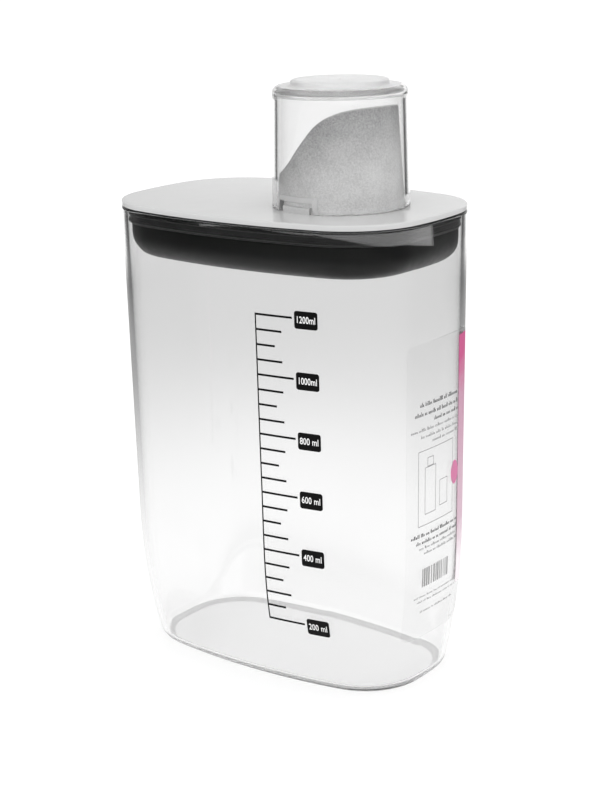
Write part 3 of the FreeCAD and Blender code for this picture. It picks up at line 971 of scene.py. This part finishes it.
def printed(name, surface, rectangles, material):
    """Printed rectangles on the label, following its surface: each one's y and z ranges."""
    mesh = bmesh.new()
    for across, up in rectangles:
        columns = max(2, int((across[1] - across[0]) / PRINT_FACE_WIDTH) + 1)
        rows = max(2, int((up[1] - up[0]) / PRINT_FACE_HEIGHT) + 1)
        grid = []
        for z in spread(*up, rows):
            points = [on_label(surface, y, z) for y in spread(*across, columns)]
            grid.append([mesh.verts.new(point) for point in points])
        for low, high in zip(grid, grid[1:]):
            for index in range(columns - 1):
                mesh.faces.new((low[index], low[index + 1], high[index + 1], high[index]))
    place(finished(name, mesh), "jar", material)


def spot(name, surface, centre, radii, material):
    """A printed oval on the label, at a centre given by its y and z."""
    mesh = bmesh.new()
    rings = []
    for share in spread(SPOT_CENTRE, 1, SPOT_RINGS):
        ring = []
        for turn in spread(0, 2 * math.pi, SPOT_COLUMNS + 1)[:-1]:
            y = centre[0] + radii[0] * share * math.cos(turn)
            z = centre[1] + radii[1] * share * math.sin(turn)
            ring.append(mesh.verts.new(on_label(surface, y, z)))
        rings.append(ring)
    mesh.faces.new(rings[0])
    for low, high in zip(rings, rings[1:]):
        for index in range(len(low)):
            after = (index + 1) % len(low)
            mesh.faces.new((low[index], high[index], high[after], low[after]))
    place(finished(name, mesh), "jar", material)


def frame_lines(left, right, bottom, top):
    """The four thin lines round a rectangle."""
    thick = LABEL_LINE
    return [
        ((left, right), (bottom, bottom + thick)),
        ((left, right), (top - thick, top)),
        ((left, left + thick), (bottom + thick, top - thick)),
        ((right - thick, right), (bottom + thick, top - thick)),
    ]


def small_print(left, right, middle, height, draw):
    """A row of small blocks in groups, in place of a line of text."""
    blocks = []
    start = left
    bottom = middle - height / 2
    blocks_left = draw.randint(*GROUP_SIZES)
    while start < right:
        width = draw.uniform(*BLOCK_WIDTHS)
        rise = height * draw.choice(BLOCK_RISES)
        blocks.append(((start, min(right, start + width)), (bottom, bottom + rise)))
        blocks_left -= 1
        start += width + (BLOCK_GAP if blocks_left else GROUP_GAP)
        if not blocks_left:
            blocks_left = draw.randint(*GROUP_SIZES)
    return blocks


def make_label_print(dark, pale, pink):
    """Generic print: blocks for text, a framed outline drawing, bars and a pink spot."""
    surface = surface_of("side_label")
    draw = random.Random(PRINT_SEED)
    text = {True: [], False: []}
    for left, right, middle, height, bold in LABEL_TEXT:
        text[bold] += small_print(left * MM, right * MM, middle * MM, height * MM, draw)
    drawing = []
    for corners in LABEL_FRAMES:
        drawing += frame_lines(*[value * MM for value in corners])
    bars = []
    start = LABEL_BARS_Y[0]
    while start < LABEL_BARS_Y[1]:
        width = draw.choice(BAR_WIDTHS) * MM
        bars.append(((start, start + width), LABEL_BARS_Z))
        start += width + draw.choice(BAR_GAPS) * MM
    printed("label_text_dark", surface, text[True], dark)
    printed("label_text_pale", surface, text[False], pale)
    printed("label_drawing", surface, drawing, pale)
    printed("label_bars", surface, bars, pale)
    spot("label_spot", surface, LABEL_SPOT, LABEL_SPOT_RADII, pink)


# ---------------------------------------------------------------- stage

def wall_gain(tree):
    """WALL_GAIN on light that has crossed a clear wall each way, 1 otherwise."""
    path = tree.nodes.new("ShaderNodeLightPath")
    crossed = calculate(tree, "GREATER_THAN", path.outputs["Transmission Depth"], WALL_CROSSINGS)
    return blend(tree, crossed, 1.0, WALL_GAIN)


def by_path(tree, lit, through, mirrored):
    """Chooses a level: for lighting and the plain view, for what clear plastic shows, or for gloss."""
    path = tree.nodes.new("ShaderNodeLightPath")
    gloss = calculate(tree, "GREATER_THAN", path.outputs["Glossy Depth"], 0.5)
    lighting = calculate(tree, "GREATER_THAN", path.outputs["Diffuse Depth"], 0.5)
    plain = calculate(tree, "MAXIMUM", path.outputs["Is Camera Ray"], lighting)
    seen = blend(tree, gloss, through, mirrored)
    return blend(tree, plain, seen, calculate(tree, "MULTIPLY", wall_gain(tree), lit))


def card_mask(tree, place_on_floor, away):
    """1 on the white card, 0 elsewhere."""
    beside = along(tree, place_on_floor, VIEW_SIDE)
    slant = calculate(tree, "MULTIPLY", beside, CARD_SLANT)
    curve = calculate(tree, "POWER", calculate(tree, "ABSOLUTE", beside), CARD_BEND_POWER)
    bend = calculate(tree, "MULTIPLY", curve, CARD_BEND)
    left_end = between(tree, beside, *CARD_LEFT_END)
    near_edge = calculate(tree, "ADD", calculate(tree, "ADD", slant, bend), left_end)
    beyond = calculate(tree, "GREATER_THAN", away, near_edge)
    within = calculate(tree, "LESS_THAN", away, CARD_FAR)
    facing = calculate(tree, "GREATER_THAN", along(tree, place_on_floor, CARD_SIDE), CARD_BACK)
    return calculate(tree, "MULTIPLY", calculate(tree, "MULTIPLY", beyond, within), facing)


def floor_through(tree, away, dark):
    """The floor as clear plastic shows it: pale, greyer further away, and dimmed where it is dark."""
    base = between(tree, away, *THROUGH_BASE)
    near = calculate(tree, "ADD", base, between(tree, away, *THROUGH_NEAR))
    plain = calculate(tree, "ADD", near, between(tree, away, *THROUGH_FAR))
    dimming = calculate(tree, "MULTIPLY", dark, THROUGH_DIMMING)
    return calculate(tree, "MULTIPLY", plain, calculate(tree, "SUBTRACT", 1.0, dimming))


def floor_mirrored(tree, position, away, ahead, light):
    """The floor as gloss shows it: darker away from the object and in front of it, with the card."""
    near = between(tree, away, *GLOSS_NEAR)
    gloss = calculate(tree, "ADD", near, between(tree, away, *GLOSS_FAR))
    card = card_mask(tree, position, away)
    in_front = between(tree, ahead, *DARK_FRONT)
    front = calculate(tree, "MULTIPLY", in_front, between(tree, away, *DARK_FRONT_DISTANCE))
    seen = calculate(tree, "MULTIPLY", gloss, light)
    surroundings = calculate(tree, "MULTIPLY", seen, calculate(tree, "SUBTRACT", 1.0, front))
    return blend(tree, card, surroundings, CARD_LEVEL)


def make_floor():
    """A white floor. What gloss and clear plastic show of it turns dark away from the object, except
    straight ahead of the main view, which gives the clear walls their grey edges."""
    mesh = bmesh.new()
    bmesh.ops.create_circle(mesh, cap_ends=True, radius=FLOOR_RADIUS, segments=FLOOR_COLUMNS)
    floor = finished("floor", mesh)
    material = new_material("floor_white", grey(0.9), 0.9, Specular_IOR_Level=0.0)
    tree = material.node_tree
    shader = tree.nodes["Principled BSDF"]
    position = tree.nodes.new("ShaderNodeTexCoord").outputs["Object"]
    distance = tree.nodes.new("ShaderNodeVectorMath")
    distance.operation = "LENGTH"
    tree.links.new(position, distance.inputs[0])
    away = distance.outputs["Value"]
    outward = tree.nodes.new("ShaderNodeVectorMath")
    outward.operation = "NORMALIZE"
    tree.links.new(position, outward.inputs[0])
    ahead = along(tree, outward.outputs["Vector"], VIEW_AHEAD)
    distant = between(tree, away, *DARK_DISTANCE)
    dark = calculate(tree, "MULTIPLY", between(tree, ahead, *DARK_AHEAD), distant)
    light = calculate(tree, "SUBTRACT", 1.0, dark)
    through = floor_through(tree, away, dark)
    mirrored = floor_mirrored(tree, position, away, ahead, light)
    level = by_path(tree, 1.0, through, mirrored)
    reflected = calculate(tree, "MULTIPLY", level, FLOOR_REFLECTANCE)
    tree.links.new(calculate(tree, "DIVIDE", reflected, wall_gain(tree)), shader.inputs["Base Color"])
    shader.inputs["Emission Color"].default_value = (1, 1, 1, 1)
    tree.links.new(calculate(tree, "MULTIPLY", level, FLOOR_GLOW), shader.inputs["Emission Strength"])
    floor.data.materials.append(material)
    floor.location.z = -FLOOR_DROP


def make_world():
    """Plain pale surroundings, a little brighter from the right and above. Gloss shows two darker
    sides, which draw the edges of clear plastic."""
    world = bpy.data.worlds.new("studio")
    bpy.context.scene.world = world
    world.use_nodes = True
    world.cycles.sampling_method = "NONE"
    tree = world.node_tree
    towards = tree.nodes.new("ShaderNodeTexCoord").outputs["Generated"]
    lit = between(tree, along(tree, towards, SKY_BRIGHT_SIDE), *SKY_LIGHT)
    across = calculate(tree, "ABSOLUTE", along(tree, towards, VIEW_SIDE))
    left = between(tree, along(tree, towards, VIEW_SIDE), *SKY_LEFT)
    sides = calculate(tree, "MULTIPLY", left, between(tree, across, *SKY_SIDES))
    overhead = between(tree, along(tree, towards, (0, 0, 1)), *SKY_OVERHEAD)
    mirrored = blend(tree, overhead, sides, 1.0)
    level = by_path(tree, lit, SKY_THROUGH, mirrored)
    background = tree.nodes["Background"]
    background.inputs["Color"].default_value = (1, 1, 1, 1)
    tree.links.new(level, background.inputs["Strength"])


def make_camera():
    camera = bpy.data.objects.new("camera", bpy.data.cameras.new("camera"))
    camera.data.sensor_width = CAMERA_SENSOR
    camera.data.lens = CAMERA_LENS
    level = math.cos(CAMERA_ELEVATION)
    back = Vector((
        math.sin(CAMERA_AZIMUTH) * level,
        -math.cos(CAMERA_AZIMUTH) * level,
        math.sin(CAMERA_ELEVATION),
    ))
    camera.location = CAMERA_AIM + back * CAMERA_DISTANCE
    turn = (-back).to_track_quat("-Z", "Y").to_matrix() @ Matrix.Rotation(CAMERA_ROLL, 3, "Z")
    camera.rotation_euler = turn.to_euler()
    camera.data.clip_start = 0.05
    camera.data.clip_end = 50
    bpy.context.scene.collection.objects.link(camera)
    bpy.context.scene.camera = camera


# ---------------------------------------------------------------- the whole scene

make_camera()
make_floor()
make_world()
scene = bpy.context.scene
scene.view_settings.view_transform = "Standard"
scene.cycles.max_bounces = 24
scene.cycles.transmission_bounces = 24
scene.cycles.glossy_bounces = 8
scene.cycles.diffuse_bounces = 4

jar_plastic = clear_plastic("jar_plastic", 0.99)
cup_plastic = clear_plastic("cup_plastic", 0.995)
make_jar(jar_plastic, hazy_and_highlight_plastic("jar_base_painted_highlight", 0.35, 0.99))
make_plate(glossy_grey_plastic("lid_plastic"))
make_plug(black_plastic("plug_plastic"))
make_gasket(silicone("gasket_silicone"))
# The spout's plastic comes in three copies. Painted shade darkens each copy towards its top. The rim's
# copy is lighter, a painted highlight, and the lug's copy is darker, painted shade.
make_spout(
    matt_grey_painted_shade_plastic("spout_painted_shade_plastic", 0.11, 0.72),
    matt_grey_painted_shade_plastic("spout_rim_painted_highlight", 0.38, 0.74),
    matt_grey_painted_shade_plastic("spout_lug_painted_shade", 0.3, 0.5),
)
make_cup(
    cup_plastic,
    hazy_and_highlight_plastic("cup_foot_plastic", 0.6, 0.99),
    hazy_and_highlight_plastic("cup_edge_painted_highlight", 0.8, 0.95),
)

black_ink = printed_ink("black_ink", grey(0.004))
white_ink = printed_ink("white_ink", grey(0.9), 0.05)
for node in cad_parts.values():
    if node.name.startswith("scale_"):
        paint(node, black_ink)
for volume in BADGE_VOLUMES:
    make_number(volume, surface_of(f"scale_badge_{volume}"), white_ink)

paint(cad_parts["side_label"], clear_film("label_film"))
paint(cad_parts["label_stripe"], fading_ink("stripe_ink", STRIPE_COLOURS))
make_label_print(
    printed_ink("dark_ink", grey(0.11)),
    printed_ink("grey_ink", grey(0.3)),
    printed_ink("pink_ink", (0.62, 0.2, 0.36)),
)
